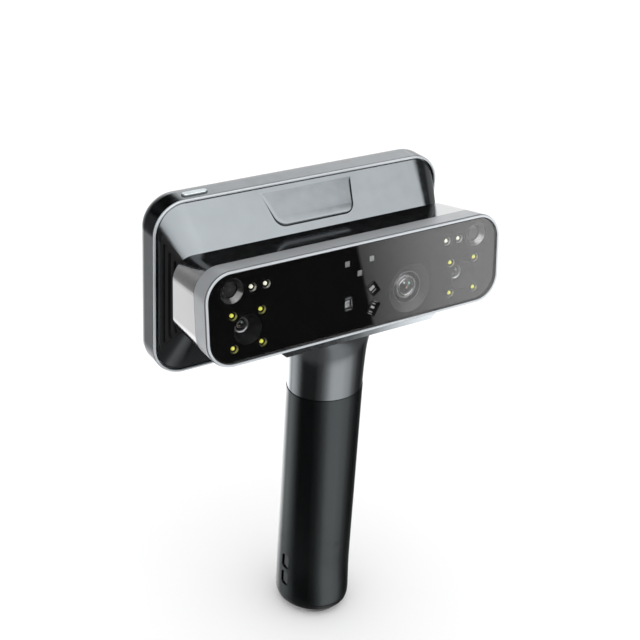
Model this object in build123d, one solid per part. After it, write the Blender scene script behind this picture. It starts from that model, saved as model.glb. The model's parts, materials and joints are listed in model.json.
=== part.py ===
from build123d import *
import math
import os

os.makedirs("parts", exist_ok=True)

# Handheld 3-D scanner, millimetres.
# +Z runs up the handle, +Y points out of the screen at the back, +X is on the right
# of someone who looks at the sensors. The origin is the centre of the grip's base.

# ---------------------------------------------------------------- driving dimensions
BAR_PITCH = 7.2            # degrees that the sensor bar looks upward
BAR_FACE_Y = -30.4         # centre of the bar's front face
BAR_FACE_Z = 244.0
BAR_WIDTH = 202.0
BAR_HEIGHT = 56.0
BAR_CORNER = 16.5
BAR_DRAFT = 0.09           # every side of the bar closes in this much per mm of depth
BAR_BACK_Y = 15.5          # the bar's back plane, parallel to the screen
BAR_WALL = 2.2
FRAME_FRONT = 1.2          # front frame, in the bar's own depth
FRAME_BACK = 14.8
SEAM = 0.3

HEAD_WIDTH = 199.0         # display housing
HEAD_HEIGHT = 111.6
HEAD_CORNER = 20.0
HEAD_CENTRE_Z = 231.8
HEAD_FRONT_Y = 35.6
HEAD_BACK_Y = 57.3
HEAD_BACK_ROUND = 11.0
HEAD_SPLIT_Y = 52.8
HEAD_WALL = 2.6
TRIM_INNER = 1.4           # inner edge of the bright ring, with a dark groove inside it
HOOD_INSET = 2.2           # hood edge inside the display housing's outline
HOOD_WALL = 2.2
HOOD_NOSE = (176.0, 46.4, 12.0, 238.7)   # width, height, corner, centre height at the bar

VENT_SLOTS = ((23.3, 210.5, 257.0), (26.8, 206.0, 261.0), (30.4, 201.5, 265.0))   # y, low z, high z
VENT_SLOT_WIDTH = 1.8

SCREEN_GLASS = (171.0, 84.0, 7.0)        # width, height, corner
SCREEN_LEDGE = (160.0, 76.0, 4.0)
SCREEN_PANEL = (158.0, 74.0, 3.0)

GRIP_TOP = 164.2
GRIP_STRAIGHT_FROM = 56.0
NECK_BOTTOM = 164.6
CAP_TOP = 8.0
GRIP_WALL = 2.7
NECK_WALL = 2.2
LIP_HALF_TOP = 54.1        # lip under the bar's front, half width above and below
LIP_HALF_BOTTOM = 50.7
LIP_DROP = 3.2

KEYPAD_Z = 146.0
KEY_PITCH = 10.4
SCAN_R = 5.6
KEY_R = 3.3
KEY_PLAY = 0.25

POWER_X = -70.4
POWER_Y = 40.9
POWER_SIZE = (16.2, 4.3)
POWER_TOP = HEAD_CENTRE_Z + HEAD_HEIGHT / 2 + 1.0

PORT_Y = 42.0
PORT_Z = 217.0
HINGE_X = 98.4
HINGE_Z = 207.4

CARRIER_FRONT = 45.2       # plate that holds the screen and the mainboard
CARRIER_SCREWS = ((-94.6, 200.0), (-94.6, 262.0), (94.6, 194.0), (94.6, 262.0))

FAN_X = -62.0
FAN_Z = 238.0
FAN_ROTOR_R = 17.0

SLOT_Y = -2.9              # lanyard slots on the left of the grip
SLOT_WIDTH = 6.6
SLOT_HEIGHT = 10.6
SLOT_ZS = (23.1, 36.6)

# Places of the optics on the bar's face, x and z from its centre
CORNER_WINDOW = (83.6, 15.6)
CORNER_WINDOW_R = 7.3
STEREO = (74.6, -8.5)
STEREO_R = 9.0
TEXTURE = (34.6, -8.3)
TEXTURE_R = 15.0
LED_R = 2.7
WHITE_LEDS = ((71.0, 15.2), (62.1, 15.2))
YELLOW_LEDS = ((83.6, 1.0), (65.5, 1.0), (83.6, -18.3), (65.5, -18.3))
LASER_SQUARES = ((-9.0, 15.6), (7.8, 15.6), (-0.6, 8.5))
LASER_SQUARE = 3.6
LINE_LASERS = ((8.5, -2.5, 34.0, 6.1, 7.5), (8.4, -14.6, -30.0, 5.8, 8.5))   # x, z, turn, width, height
BRACKET_WINDOW = (-8.4, -8.4, 5.5, 9.0)
BENCH_SCREWS = ((-90.0, -4.0), (90.0, -4.0), (-50.0, 14.0), (50.0, 14.0))

NECK_PASSAGE = Pos(0, -4.75, 216.0) * Box(34.0, 18.5, 24.0)

BAR_FRAME = Location((0, BAR_FACE_Y, BAR_FACE_Z), (-BAR_PITCH, 0, 0))


# ---------------------------------------------------------------- helpers
def block(outline, y_start, y_end, x=0.0, z=0.0, turn=0.0):
    """Push an outline drawn in XZ from one depth to another."""
    plane = Plane(origin=(x, y_start, z), x_dir=(1, 0, 0), z_dir=(0, -1, 0))
    return extrude(plane * (Rot(0, 0, turn) * outline), amount=-(y_end - y_start))


def column(outline, z_start, z_end, x=0.0, y=0.0):
    """Push an outline drawn in XY from one height to another."""
    plane = Plane(origin=(x, y, z_start), x_dir=(1, 0, 0), z_dir=(0, 0, 1))
    return extrude(plane * outline, amount=z_end - z_start)


def side_block(outline, x_start, x_end, y=0.0, z=0.0):
    """Push an outline drawn in YZ from one x to another."""
    plane = Plane(origin=(x_start, y, z), x_dir=(0, 1, 0), z_dir=(1, 0, 0))
    return extrude(plane * outline, amount=x_end - x_start)


def cone(r_front, r_back, y_front, y_back, x=0.0, z=0.0):
    """A round frustum along Y."""
    front = Plane(origin=(x, y_front, z), x_dir=(1, 0, 0), z_dir=(0, -1, 0)) * Circle(r_front)
    back = Plane(origin=(x, y_back, z), x_dir=(1, 0, 0), z_dir=(0, -1, 0)) * Circle(r_back)
    return loft([front, back], ruled=True)


def tube(r_outer, r_inner, y_start, y_end, x=0.0, z=0.0):
    return block(Circle(r_outer), y_start, y_end, x, z) - block(Circle(r_inner), y_start, y_end, x, z)


def box(low, high):
    size = [b - a for a, b in zip(low, high)]
    centre = [(a + b) / 2 for a, b in zip(low, high)]
    return Pos(*centre) * Box(*size)


def join(shapes):
    result = shapes[0]
    for shape in shapes[1:]:
        result = result + shape
    return result


def save(shape, node):
    """Write one node; several separate solids go out as one compound."""
    solids = list(shape.solids())
    kept = solids[0] if len(solids) == 1 else Compound(children=solids)
    kept.label = node
    export_step(kept, f"parts/{node}.step")


def save_group(shapes, node):
    solids = [solid for shape in shapes for solid in shape.solids()]
    group = Compound(children=solids)
    group.label = node
    export_step(group, f"parts/{node}.step")


def both_sides(x, z):
    """A place on the bar's face and its mirror image."""
    return ((-x, z), (x, z))


# ---------------------------------------------------------------- sensor bar envelope
def bar_section(depth, inset):
    """The bar's outline at a depth behind its face, drawn in its own frame."""
    shrink = BAR_DRAFT * depth + inset
    plane = Plane(origin=(0, depth, 0), x_dir=(1, 0, 0), z_dir=(0, -1, 0))
    outline = RectangleRounded(BAR_WIDTH - 2 * shrink, BAR_HEIGHT - 2 * shrink, BAR_CORNER - shrink)
    return plane * outline


def bar_solid(depth_start, depth_end, inset):
    return loft([bar_section(depth_start, inset), bar_section(depth_end, inset)], ruled=True)


def bar_ring(depth_start, depth_end, outer_inset, inner_inset):
    return bar_solid(depth_start, depth_end, outer_inset) - bar_solid(depth_start, depth_end, inner_inset)


def ahead_of(y):
    """Everything in front of a plane that is parallel to the screen."""
    return box((-150, -100, -50), (150, y, 350))


# ---------------------------------------------------------------- display housing envelope
def head_outline(inset):
    return RectangleRounded(HEAD_WIDTH - 2 * inset, HEAD_HEIGHT - 2 * inset, HEAD_CORNER - inset)


def head_block(inset, y_start, y_end):
    return block(head_outline(inset), y_start, y_end, z=HEAD_CENTRE_Z)


def head_envelope():
    solid = head_block(0.0, HEAD_FRONT_Y, HEAD_BACK_Y)
    rear_edges = solid.faces().sort_by(Axis.Y)[-1].edges()
    return fillet(rear_edges, HEAD_BACK_ROUND)


def hood_solid(inset, y_start=BAR_BACK_Y, y_end=HEAD_FRONT_Y - 0.2):
    """The frustum between the sensor bar's back and the display housing."""
    width, height, corner, centre = HOOD_NOSE
    nose_plane = Plane(origin=(0, y_start, centre), x_dir=(1, 0, 0), z_dir=(0, -1, 0))
    nose = nose_plane * RectangleRounded(width - 2 * inset, height - 2 * inset, corner - inset)
    wide_plane = Plane(origin=(0, y_end, HEAD_CENTRE_Z), x_dir=(1, 0, 0), z_dir=(0, -1, 0))
    wide = wide_plane * head_outline(HOOD_INSET + inset)
    return loft([nose, wide], ruled=True)


# ---------------------------------------------------------------- display side
def display_housing():
    shell = head_envelope() & ahead_of(HEAD_SPLIT_Y)
    shell -= head_block(HEAD_WALL, HEAD_FRONT_Y - 1, 47.0)
    shell -= head_block(7.0, 46.0, HEAD_SPLIT_Y + 1)
    for x, z in CARRIER_SCREWS:
        shell -= block(Circle(1.05), 46.0, 49.8, x, z)
    slot = column(SlotOverall(POWER_SIZE[0] + 0.5, POWER_SIZE[1] + 0.5), 280, 292, POWER_X, POWER_Y)
    shell -= slot
    boss = box((92.5, PORT_Y - 6.2, 203.0), (97.6, PORT_Y + 6.2, 229.0))
    shell += boss
    shell -= head_block(TRIM_INNER, HEAD_FRONT_Y - 1, 37.0) - head_block(HEAD_WALL, HEAD_FRONT_Y - 2, 38.0)
    recess = box((97.2, PORT_Y - 4.0, HINGE_Z - 1.6), (101.0, PORT_Y + 4.0, 226.0))
    shell -= recess
    shell -= side_block(SlotOverall(9.4, 3.7, rotation=90), 92.0, 98.0, PORT_Y, PORT_Z)
    shell -= Pos(HINGE_X, PORT_Y, HINGE_Z) * Rot(90, 0, 0) * Cylinder(0.4, 11.0)
    return shell


def housing_trim_ring():
    ring = head_block(0.25, HEAD_FRONT_Y - 1.3, HEAD_FRONT_Y)
    front_edges = ring.faces().sort_by(Axis.Y)[0].edges()
    ring = chamfer(front_edges, 0.4)
    return ring - head_block(TRIM_INNER, HEAD_FRONT_Y - 2, HEAD_FRONT_Y + 1)


def display_bezel():
    behind = box((-150, HEAD_SPLIT_Y + 0.2, 100), (150, 100, 350))
    shell = head_envelope() & behind
    width, height, corner = SCREEN_GLASS
    pocket = RectangleRounded(width + 0.4, height + 0.4, corner + 0.2)
    shell -= block(pocket, HEAD_BACK_Y - 1.7, HEAD_BACK_Y + 1, z=HEAD_CENTRE_Z)
    shell -= block(RectangleRounded(*SCREEN_LEDGE), 50, 60, z=HEAD_CENTRE_Z)
    return shell


def display_glass():
    return block(RectangleRounded(*SCREEN_GLASS), HEAD_BACK_Y - 1.6, HEAD_BACK_Y, z=HEAD_CENTRE_Z)


def display_panel():
    return block(RectangleRounded(*SCREEN_PANEL), HEAD_BACK_Y - 4.0, HEAD_BACK_Y - 1.65, z=HEAD_CENTRE_Z)


def vent_outline(inset):
    """The louvre window, drawn in YZ: its ends follow the hood's slanted edges."""
    points = (
        (20.5 + inset, 212.0 + inset * 1.8),
        (32.6 - inset, 196.5 + inset * 2.2),
        (32.6 - inset, 271.0 - inset * 1.4),
        (20.5 + inset, 260.0 - inset * 1.2),
    )
    return make_face(Polyline(*points, close=True))


def vent_grille(side):
    """Blades behind the hood's side window, with three upright air slots."""
    hood = hood_solid(0.0) - hood_solid(HOOD_WALL)
    start, end = sorted((side * 82.0, side * 100.0))
    plate = hood & side_block(vent_outline(0.15), start, end)
    for slot_y, low, high in VENT_SLOTS:
        slot = RectangleRounded(VENT_SLOT_WIDTH, high - low, 0.8)
        plate -= side_block(slot, start, end, slot_y, (low + high) / 2)
    return plate


def hood_shell():
    shell = hood_solid(0.0) - hood_solid(HOOD_WALL)
    tongue_outer = head_block(HEAD_WALL + 0.3, HEAD_FRONT_Y - 0.3, HEAD_FRONT_Y + 1.6)
    tongue_inner = head_block(HEAD_WALL + 1.8, HEAD_FRONT_Y - 0.3, HEAD_FRONT_Y + 1.6)
    tongue = tongue_outer - tongue_inner
    tongue -= box((90.0, HEAD_FRONT_Y - 0.1, 202.0), (100.0, HEAD_FRONT_Y + 3, 230.0))
    shell += tongue
    for start, end in ((-102.0, -82.0), (82.0, 102.0)):
        shell -= side_block(vent_outline(0.0), start, end)
    return shell


def badge_plate():
    """The blank pad on the hood's upper slope, raised at its lower edge and almost flush at its upper one."""
    foot, rise, fall = 5.6, 1.9, 3.75
    outline = Polyline((-33.0, 34.0), (-26.3, foot), (26.3, foot), (33.0, 34.0), close=True)
    face = make_face(outline)
    soft = fillet(face.vertices().sort_by(Axis.Y)[:2], 7.5)
    nose_width, nose_height, nose_corner, nose_centre = HOOD_NOSE
    low_edge = (BAR_BACK_Y, nose_centre + nose_height / 2)
    high_edge = (HEAD_FRONT_Y - 0.2, HEAD_CENTRE_Z + HEAD_HEIGHT / 2 - HOOD_INSET)
    slope = math.degrees(math.atan2(high_edge[1] - low_edge[1], high_edge[0] - low_edge[0]))
    place = Location((0, low_edge[0], low_edge[1]), (slope, 0, 0))
    pad = extrude(soft, amount=rise)
    pad -= Pos(0, foot, rise) * Rot(-fall, 0, 0) * Pos(0, 0, 5) * Box(80, 80, 10)
    pad = place * pad
    pad -= hood_solid(0.0)
    return pad & ahead_of(HEAD_FRONT_Y - 1.5) & box((-60, 0, 200), (60, 40, 285.0))


# ---------------------------------------------------------------- power button and port
def power_button():
    button = column(SlotOverall(*POWER_SIZE), 284.4, POWER_TOP, POWER_X, POWER_Y)
    button = chamfer(button.faces().sort_by(Axis.Z)[-1].edges(), 0.35)
    flange = column(SlotOverall(POWER_SIZE[0] + 2.0, POWER_SIZE[1] + 1.6), 283.4, 284.5, POWER_X, POWER_Y)
    return button + flange


def power_switch():
    body = box((POWER_X - 4, POWER_Y - 2.2, 279.6), (POWER_X + 4, POWER_Y + 2.2, 281.6))
    return body + column(Circle(1.6), 281.5, 282.4, POWER_X, POWER_Y)


def usb_port():
    shell = side_block(SlotOverall(8.94, 3.2, rotation=90), 92.6, 97.0, PORT_Y, PORT_Z)
    shell -= side_block(SlotOverall(8.3, 2.5, rotation=90), 93.2, 98.0, PORT_Y, PORT_Z)
    tongue = box((93.0, PORT_Y - 0.35, PORT_Z - 3.3), (96.6, PORT_Y + 0.35, PORT_Z + 3.3))
    return shell + tongue


def port_cover():
    plate = box((97.7, PORT_Y - 3.75, HINGE_Z), (99.3, PORT_Y + 3.75, 225.7))
    knuckle = Pos(HINGE_X, PORT_Y, HINGE_Z) * Rot(90, 0, 0) * Cylinder(0.95, 7.5)
    plate -= box((97.0, PORT_Y - 5, HINGE_Z - 2), (100.0, PORT_Y + 5, HINGE_Z + 0.6))
    cover = plate + knuckle + box((97.75, PORT_Y - 3.75, HINGE_Z), (99.0, PORT_Y + 3.75, HINGE_Z + 1.0))
    cover -= box((98.9, PORT_Y - 2.0, 223.6), (100.0, PORT_Y + 2.0, 226.0))
    return cover - Pos(HINGE_X, PORT_Y, HINGE_Z) * Rot(90, 0, 0) * Cylinder(0.45, 20.0)


def port_cover_pin():
    return Pos(HINGE_X, PORT_Y, HINGE_Z) * Rot(90, 0, 0) * Cylinder(0.4, 10.6)


# ---------------------------------------------------------------- sensor bar pieces
def bar_front_frame():
    frame = bar_ring(FRAME_FRONT, FRAME_BACK, 0.0, 1.8)
    ledge = bar_ring(2.3, 4.2, 1.8, 3.2)
    tongue = bar_ring(FRAME_BACK - 1.0, FRAME_BACK + 3.4, BAR_WALL + 0.25, BAR_WALL + 1.6)
    bridge = bar_ring(FRAME_BACK - 3.0, FRAME_BACK, 1.7, BAR_WALL + 1.6)
    return BAR_FRAME * (frame + ledge + tongue + bridge)


def bar_trim_ring():
    rim = bar_solid(-0.3, 0.4, 0.5)
    rim = chamfer(rim.faces().sort_by(Axis.Y)[0].edges(), 0.15)
    return BAR_FRAME * (rim - bar_solid(-1.0, 2.0, 1.75))


def glass_gasket():
    """The seal round the glass, with a foot that lifts the bright ring off the frame."""
    foot = bar_ring(0.4, FRAME_FRONT, 0.8, 1.9)
    return BAR_FRAME * (bar_ring(0.15, 2.2, 1.85, 2.3) + foot)


def sensor_glass():
    """The cover glass, open in front of the two line lasers."""
    pane = bar_solid(0.0, 1.8, 2.35)
    for x, z, turn, width, height in LINE_LASERS:
        pane -= block(Rectangle(width, height), -1.0, 3.0, x, z, turn)
    return BAR_FRAME * pane


def face_windows(play=0.0):
    """Every opening in the dark print behind the sensor glass."""
    holes = []
    for x, z in both_sides(*CORNER_WINDOW):
        holes.append(block(Circle(CORNER_WINDOW_R + play), 0, 4, x, z))
    for x, z in both_sides(*STEREO):
        holes.append(block(Circle(STEREO_R + play), 0, 4, x, z))
    holes.append(block(Circle(TEXTURE_R + play), 0, 4, *TEXTURE))
    for place in WHITE_LEDS + YELLOW_LEDS:
        for x, z in both_sides(*place):
            holes.append(block(Circle(LED_R + play), 0, 4, x, z))
    for x, z in LASER_SQUARES:
        holes.append(block(Rectangle(LASER_SQUARE, LASER_SQUARE), 0, 4, x, z))
    for x, z, turn, width, height in LINE_LASERS:
        holes.append(block(Rectangle(width, height), 0, 4, x, z, turn))
    x, z, width, height = BRACKET_WINDOW
    holes.append(block(RectangleRounded(width, height, 1.2), 0, 4, x, z))
    return holes


def glass_mask():
    sheet = bar_solid(1.85, 2.2, 2.7)
    for hole in face_windows():
        sheet -= hole
    return BAR_FRAME * sheet


def bar_housing():
    shell = bar_solid(FRAME_BACK + SEAM, 54.0, 0.0) - bar_solid(FRAME_BACK, 56.0, BAR_WALL)
    shell = BAR_FRAME * shell & ahead_of(BAR_BACK_Y)
    back_wall = BAR_FRAME * bar_solid(FRAME_BACK + SEAM, 54.0, 0.5)
    back_wall = back_wall & box((-150, BAR_BACK_Y - 2.4, 100), (150, BAR_BACK_Y, 350))
    back_wall -= block(RectangleRounded(166, 32, 8), 0, 20, z=HOOD_NOSE[3])
    shell += back_wall
    return shell - NECK_PASSAGE


def optical_bench():
    plate = block(RectangleRounded(188, 38, 8), 26.0, 28.6, z=2.5)
    for x, z in both_sides(*STEREO):
        plate -= block(Circle(6.6), 20, 30, x, z)
    plate -= block(Circle(11.0), 20, 30, *TEXTURE)
    for x, z in both_sides(90.0, 14.0) + both_sides(50.0, 14.0) + both_sides(20.0, 14.0):
        plate += block(Circle(2.4), 20.5, 26.2, x, z)
    for x in (-50.0, 0.0, 60.0):
        plate -= block(RectangleRounded(14, 10, 3), 20, 30, x, 2.5)
    for x, z in BENCH_SCREWS:
        plate -= block(Circle(1.1), 25.9, 30, x, z)
    return BAR_FRAME * plate


def stereo_barrel(x, z):
    """A wide dark cone that narrows to the lens seat, then the camera body."""
    outer = cone(STEREO_R + 0.9, 6.6, 2.3, 15.0, x, z) + block(Circle(6.4), 14.8, 31.0, x, z)
    inner = cone(STEREO_R, 5.2, 2.2, 9.6, x, z)
    bore = block(Circle(4.6), 9.5, 29.0, x, z)
    seat = tube(4.6, 3.8, 11.4, 29.0, x, z)
    return BAR_FRAME * (outer - inner - bore + seat)


def stereo_lens(x, z):
    body = block(Circle(3.7), 11.7, 16.5, x, z)
    dome = Pos(x, 16.0, z) * Sphere(5.6)
    front = block(Circle(3.7), 10.0, 12.0, x, z) & dome
    return BAR_FRAME * (body + front)


def texture_barrel():
    """Stepped barrel of the wide middle lens."""
    x, z = TEXTURE
    outer = cone(TEXTURE_R + 0.5, 11.0, 2.3, 14.0, x, z) + block(Circle(10.8), 13.8, 32.0, x, z)
    inner = cone(TEXTURE_R, 9.9, 2.2, 4.6, x, z)
    steps = join([block(Circle(radius), start, 30.0, x, z)
                  for radius, start in ((9.3, 4.5), (8.6, 5.2), (8.0, 5.9))])
    return BAR_FRAME * (outer - inner - steps)


def texture_lens():
    x, z = TEXTURE
    body = block(Circle(7.9), 8.6, 16.0, x, z)
    dome = Pos(x, 15.6, z) * Sphere(10.4)
    front = block(Circle(7.9), 5.0, 9.0, x, z) & dome
    return BAR_FRAME * (body + front)


def camera_boards():
    boards = []
    for x, z in both_sides(*STEREO):
        boards.append(BAR_FRAME * block(RectangleRounded(18, 18, 1), 31.2, 32.8, x, z + 2.0))
    x, z = TEXTURE
    boards.append(BAR_FRAME * block(RectangleRounded(24, 20, 1), 32.2, 33.8, x, z + 3.5))
    return boards


def flood_light_cups():
    cups = []
    for x, z in both_sides(*CORNER_WINDOW):
        outer = cone(CORNER_WINDOW_R + 0.6, 5.6, 2.3, 7.4, x, z)
        inner = cone(CORNER_WINDOW_R - 0.1, 4.7, 2.2, 4.9, x, z)
        well = block(Circle(4.7), 4.8, 6.4, x, z)
        cups.append(BAR_FRAME * (outer - inner - well))
    return cups


def flood_light_lenses():
    lenses = []
    for x, z in both_sides(*CORNER_WINDOW):
        disc = block(Circle(4.5), 5.7, 6.3, x, z)
        chip = block(RectangleRounded(5.0, 5.0, 1.2), 5.1, 5.8, x, z)
        lenses.append(BAR_FRAME * (disc + chip))
    return lenses


def led_rings(places):
    rings = []
    for place in places:
        for x, z in both_sides(*place):
            funnel = cone(LED_R - 0.08, LED_R - 0.65, 2.2, 3.5, x, z)
            well = block(Circle(LED_R - 0.65), 3.4, 4.7, x, z)
            seat = block(Circle(1.6), 4.6, 6.0, x, z)
            rings.append(BAR_FRAME * (block(Circle(LED_R), 2.25, 5.2, x, z) - funnel - well - seat))
    return rings


def leds(places):
    lamps = []
    for place in places:
        for x, z in both_sides(*place):
            dome = block(Circle(1.5), 2.7, 5.4, x, z) & (Pos(x, 4.9, z) * Sphere(2.0))
            lamps.append(BAR_FRAME * dome)
    return lamps


def led_boards():
    """One board behind each lamp group, open around the camera and the corner cup."""
    boards = []
    for side in (-1, 1):
        board = block(RectangleRounded(29.0, 40.0, 3.0), 5.5, 7.0, side * 74.6, -1.5)
        board -= block(Circle(9.6), 4, 8, side * STEREO[0], STEREO[1])
        board -= block(Circle(7.6), 4, 8, side * CORNER_WINDOW[0], CORNER_WINDOW[1])
        board = join(sorted(board.solids(), key=lambda solid: solid.volume)[-1:])
        boards.append(BAR_FRAME * board)
    return boards


def laser_modules():
    """Dot projectors behind the square windows and line projectors at a slant."""
    modules = []
    for x, z in LASER_SQUARES:
        module = block(Rectangle(LASER_SQUARE + 0.8, LASER_SQUARE + 0.8), 3.0, 16.0, x, z)
        module -= block(Rectangle(LASER_SQUARE - 0.8, LASER_SQUARE - 0.8), 2.0, 5.0, x, z)
        modules.append(BAR_FRAME * module)
    for x, z, turn, width, height in LINE_LASERS:
        module = block(Rectangle(width + 0.8, height + 0.8), 3.0, 21.0, x, z, turn)
        module -= block(Rectangle(width - 1.0, height - 1.0), 2.0, 5.0, x, z, turn)
        modules.append(BAR_FRAME * module)
    return modules


def laser_lenses():
    lenses = []
    for x, z in LASER_SQUARES:
        lenses.append(BAR_FRAME * block(Circle(1.2), 3.6, 4.9, x, z))
    for x, z, turn, width, height in LINE_LASERS:
        lenses.append(BAR_FRAME * block(Rectangle(3.0, 1.5), 3.6, 4.9, x, z, turn))
    return lenses


def proximity_sensor():
    """The small D-shaped bracket and sensor behind the left middle window."""
    x, z, width, height = BRACKET_WINDOW
    base = block(RectangleRounded(width + 1.0, height + 1.0, 1.2), 4.4, 9.0, x, z)
    rim = block(RectangleRounded(width - 0.4, height - 0.4, 1.0), 2.6, 4.5, x, z)
    rim -= block(RectangleRounded(width - 2.0, height - 2.0, 0.7), 2.0, 4.4, x + 0.4, z)
    lens = block(Circle(1.2), 3.2, 4.5, x + 0.4, z + 1.6)
    return BAR_FRAME * (base + rim + lens)


# ---------------------------------------------------------------- neck
def neck_axes(height, inset):
    """Semi-axes of the neck: slim at the seam, flaring towards the bar."""
    rise = (height - NECK_BOTTOM) / 50.0
    side = 24.2 + 1.9 * rise ** 1.5 + 11.0 * rise ** 7
    depth = 20.9 + 1.4 * rise ** 1.5 + 9.0 * rise ** 6
    return side - inset, depth - inset


def neck_loft(inset, low, high):
    count = 9
    heights = [low + (high - low) * step / count for step in range(count + 1)]
    sections = [Plane.XY.offset(height) * Ellipse(*neck_axes(height, inset)) for height in heights]
    return loft(sections)


def lip_solid():
    """The flat lip that runs along the bar's underside."""
    def section(depth):
        top = -BAR_HEIGHT / 2 + BAR_DRAFT * depth + 2.0
        bottom = -BAR_HEIGHT / 2 + BAR_DRAFT * depth - LIP_DROP
        plane = Plane(origin=(0, depth, 0), x_dir=(1, 0, 0), z_dir=(0, -1, 0))
        outline = Polyline((-LIP_HALF_TOP, top), (-LIP_HALF_TOP, top - 2.2), (-LIP_HALF_BOTTOM, bottom),
                           (LIP_HALF_BOTTOM, bottom), (LIP_HALF_TOP, top - 2.2), (LIP_HALF_TOP, top), close=True)
        return plane * make_face(outline)
    return BAR_FRAME * loft([section(FRAME_FRONT - 0.4), section(44.0)], ruled=True)


def neck_envelope():
    neck = neck_loft(0.0, NECK_BOTTOM, 219.0)
    neck = neck & (BAR_FRAME * box((-60, 0.8, -90), (60, 60, 10)))
    neck += lip_solid()
    neck -= BAR_FRAME * bar_solid(0.0, 56.0, -0.15)
    neck -= hood_solid(-0.12, BAR_BACK_Y - 0.12)
    return neck & ahead_of(30.0)


def neck_hollow():
    """The space inside the neck and the way up through the bar's floor for the bracket."""
    inside = neck_loft(NECK_WALL, NECK_BOTTOM, 219.0) & box((-60, -40, 150), (60, 40, 210.0))
    return inside + NECK_PASSAGE


def neck_front_shell():
    return (neck_envelope() - neck_hollow()) & ahead_of(-0.06)


def neck_rear_shell():
    rear = (neck_envelope() - neck_hollow()) & box((-70, 0.06, 150), (70, 60, 260))
    return max(rear.solids(), key=lambda solid: solid.volume)


# ---------------------------------------------------------------- grip
def grip_section(height, inset):
    """Oval section; the foot swells a little, more to the front than to the back."""
    foot = math.exp(-((height - CAP_TOP) / 15.0) ** 2)
    side = 23.7 + 0.9 * height / GRIP_TOP
    depth = 24.3 - 3.3 * height / GRIP_TOP + 0.8 * foot
    plane = Plane(origin=(0, -0.8 * foot, height), x_dir=(1, 0, 0), z_dir=(0, 0, 1))
    return plane * Ellipse(side - inset, depth - inset)


def grip_loft(inset, low, high):
    """The swelling foot as a smooth loft and the straight taper above it."""
    count = 6
    heights = [low + (GRIP_STRAIGHT_FROM - low) * step / count for step in range(count + 1)]
    foot = loft([grip_section(height, inset) for height in heights])
    straight = loft([grip_section(GRIP_STRAIGHT_FROM, inset), grip_section(high, inset)], ruled=True)
    return foot + straight


def slot_cut(x_start, x_end, grow=0.0):
    cuts = [side_block(RectangleRounded(SLOT_WIDTH + grow, SLOT_HEIGHT + grow, 2.2), x_start, x_end, SLOT_Y, z)
            for z in SLOT_ZS]
    return join(cuts)


def keypad_outline(grow=0.0):
    return SlotOverall(2 * (KEY_PITCH + KEY_R + 2.0) + grow, 2 * (SCAN_R + 2.2) + grow, rotation=90)


def grip_sleeve():
    sleeve = grip_loft(0.0, CAP_TOP + 0.3, GRIP_TOP) - grip_loft(GRIP_WALL, CAP_TOP - 1.0, GRIP_TOP + 1.0)
    sleeve -= slot_cut(-30.0, -15.0)
    return sleeve - block(keypad_outline(0.3), 5, 30, z=KEYPAD_Z)


def core_loft(inset):
    foot = Plane.XY.offset(CAP_TOP + 0.5) * Ellipse(20.4 - inset, 20.9 - inset)
    middle = Plane.XY.offset(GRIP_TOP) * Ellipse(21.4 - inset, 17.9 - inset)
    top = Plane.XY.offset(204.0) * Ellipse(21.4 - inset, 17.9 - inset)
    return loft([foot, middle], ruled=True) + loft([middle, top], ruled=True)


def handle_core():
    core = core_loft(0.0) - core_loft(1.8)
    core -= box((-30, SLOT_Y - 4.9, 15.4), (-10, SLOT_Y + 4.9, 44.4))
    core -= block(keypad_outline(0.6), 5, 30, z=KEYPAD_Z)
    return core


def lanyard_anchor():
    """A tray behind the two slots; a lanyard passes in one slot, behind the bar and out."""
    tray = box((-19.2, SLOT_Y - 4.6, 15.8), (-15.0, SLOT_Y + 4.6, 44.0))
    return tray - box((-21.0, SLOT_Y - 3.5, 17.2), (-16.1, SLOT_Y + 3.5, 42.6))


def cap_section(height, side, depth):
    return Plane(origin=(0, -0.8, height), x_dir=(1, 0, 0), z_dir=(0, 0, 1)) * Ellipse(side, depth)


def grip_end_cap():
    lower = loft([cap_section(0.0, 18.9, 20.4), cap_section(5.4, 23.2, 24.7)], ruled=True)
    upper = loft([cap_section(5.4, 23.2, 24.7), cap_section(CAP_TOP, 23.6, 25.1)], ruled=True)
    cap = lower + upper
    cap -= column(Ellipse(19.0, 19.5), 2.2, 9.0)
    for y in (-13.5, 13.5):
        cap -= Pos(0, y, 1.0) * Cylinder(1.3, 10.0)
        cap -= Pos(0, y, 0.5) * Cylinder(2.5, 2.2)
    return cap


def end_cap_screws():
    screws = []
    for y in (-13.5, 13.5):
        head = Pos(0, y, 0.9) * Cylinder(2.3, 1.2)
        shank = Pos(0, y, 3.2) * Cylinder(1.2, 4.0)
        drive = Pos(0, y, 0.45) * extrude(RegularPolygon(1.0, 6), amount=0.8, both=True)
        screws.append(head + shank - drive)
    return screws


def battery_holder():
    holder = column(RectangleRounded(27.0, 24.6, 5.0), 11.2, 127.0)
    holder -= column(Circle(10.8), 12.4, 128.0)
    return holder - box((-8.0, 7.0, 25.0), (8.0, 16.0, 115.0))


def battery_cells():
    cells = []
    for low in (12.6, 69.0):
        can = column(Circle(10.4), low, low + 54.0)
        can = fillet(can.edges(), 0.8)
        cells.append(can + column(Circle(3.2), low + 53.8, low + 55.4))
    return cells


def battery_contact_board():
    return column(Ellipse(17.0, 15.0), 128.0, 129.6) + column(Circle(4.0), 126.0, 128.2)


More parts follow.
